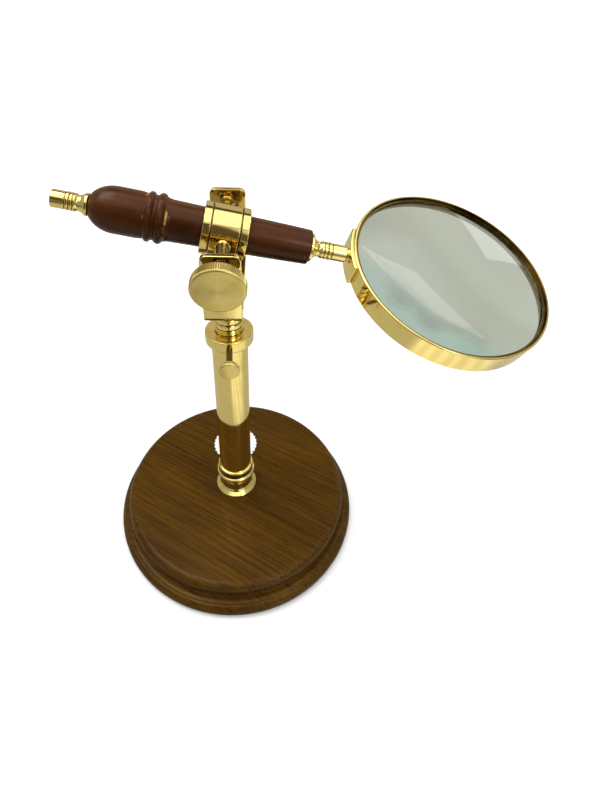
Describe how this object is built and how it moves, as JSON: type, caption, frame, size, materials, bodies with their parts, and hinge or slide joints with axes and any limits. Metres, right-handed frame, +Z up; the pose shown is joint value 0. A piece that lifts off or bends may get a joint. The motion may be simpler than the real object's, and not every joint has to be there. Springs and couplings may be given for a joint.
{
  "type": "stand magnifier",
  "caption": "Brass desk magnifier: a round glass on a turned wooden handle, clamped in a tilting ring in a fork on a telescopic post over a round wooden base.",
  "frame": {"origin": "middle of the base's underside, on the table", "axes": "+Z up along the post, +X from the post towards the lens, -Y towards the viewer and the clamp knob"},
  "size_m": [0.2127, 0.14, 0.2096],
  "materials": {
    "polished_brass": "polished and lacquered",
    "base_wood": "stained, satin lacquer",
    "handle_wood": "stained dark, gloss lacquer",
    "steel": "zinc plated",
    "felt": "felt",
    "paper": "plain paper, matte",
    "lens_glass": "ground and polished"
  },
  "bodies": {
    "base": {"wood_base": "base_wood", "felt_pad": "felt", "base_stud": "steel", "base_washer": "steel", "base_nut": "steel", "foot_flange": "polished_brass", "post_tube": "polished_brass", "tube_collar": "polished_brass", "paper_seal": "paper"},
    "rod": {"sliding_rod": "polished_brass"},
    "head": {"swivel_head": "polished_brass", "swivel_grub_screw": "steel", "socket_cap": "polished_brass"},
    "fork_body": {"ball_stud": "polished_brass", "fork": "polished_brass", "fork_nut": "polished_brass", "pivot_screw": "polished_brass", "pivot_nut": "polished_brass"},
    "ring": {"clamp_ring": "polished_brass"},
    "grip": {"handle_grip": "handle_wood"},
    "lens_head": {"tie_rod": "steel", "rear_ferrule": "polished_brass", "front_ferrule": "polished_brass", "rim_cradle": "polished_brass", "lens_rim": "polished_brass", "lens": "lens_glass", "lens_retaining_ring": "polished_brass"},
    "clamp_stem": {"clamp_screw_stem": "polished_brass"},
    "knob": {"clamp_knob": "polished_brass"},
    "lock_screw": {"lock_screw_stem": "polished_brass", "lock_screw_head": "polished_brass"}
  },
  "joints": [
    {"name": "rod_slide", "type": "slide", "parent": "base", "child": "rod", "axis": [0, 0, 1], "range_m": [0, 0.06]},
    {"name": "head_swivel", "type": "hinge", "parent": "rod", "child": "head", "pos_m": [0, 0, 0.1364], "axis": [0, 0, 1], "continuous": true},
    {"name": "fork_lean", "type": "hinge", "parent": "head", "child": "fork_body", "pos_m": [0, 0, 0.1519], "axis": [0.9999, -0.014, 0], "range_deg": [-35, 15]},
    {"name": "ring_tilt", "type": "hinge", "parent": "fork_body", "child": "ring", "pos_m": [0.00059, -0.00676, 0.1902], "axis": [0.0137, 0.9847, 0.1736], "range_deg": [-50, 35]},
    {"name": "handle_slide", "type": "slide", "parent": "ring", "child": "grip", "axis": [0.974, 0.0261, -0.2249], "range_m": [-0.026, 0.013]},
    {"name": "lens_roll", "type": "hinge", "parent": "grip", "child": "lens_head", "pos_m": [0.00059, -0.00676, 0.1902], "axis": [0.974, 0.0261, -0.2249], "continuous": true},
    {"name": "clamp_screw_travel", "type": "slide", "parent": "fork_body", "child": "clamp_stem", "axis": [-0.0137, -0.9847, -0.1736], "range_m": [0, 0.0027]},
    {"name": "clamp_knob_turn", "type": "hinge", "parent": "clamp_stem", "child": "knob", "pos_m": [0.00059, -0.00676, 0.1902], "axis": [-0.0137, -0.9847, -0.1736], "range_deg": [0, 1080]},
    {"name": "lock_screw_turn", "type": "hinge", "parent": "base", "child": "lock_screw", "pos_m": [0, 0, 0.1317], "axis": [0.0523, -0.9986, 0], "range_deg": [0, 720]}
  ],
  "couplings": [
    {"joint": "clamp_screw_travel", "follows": "clamp_knob_turn", "m_per_rad": 0.00012732}
  ]
}
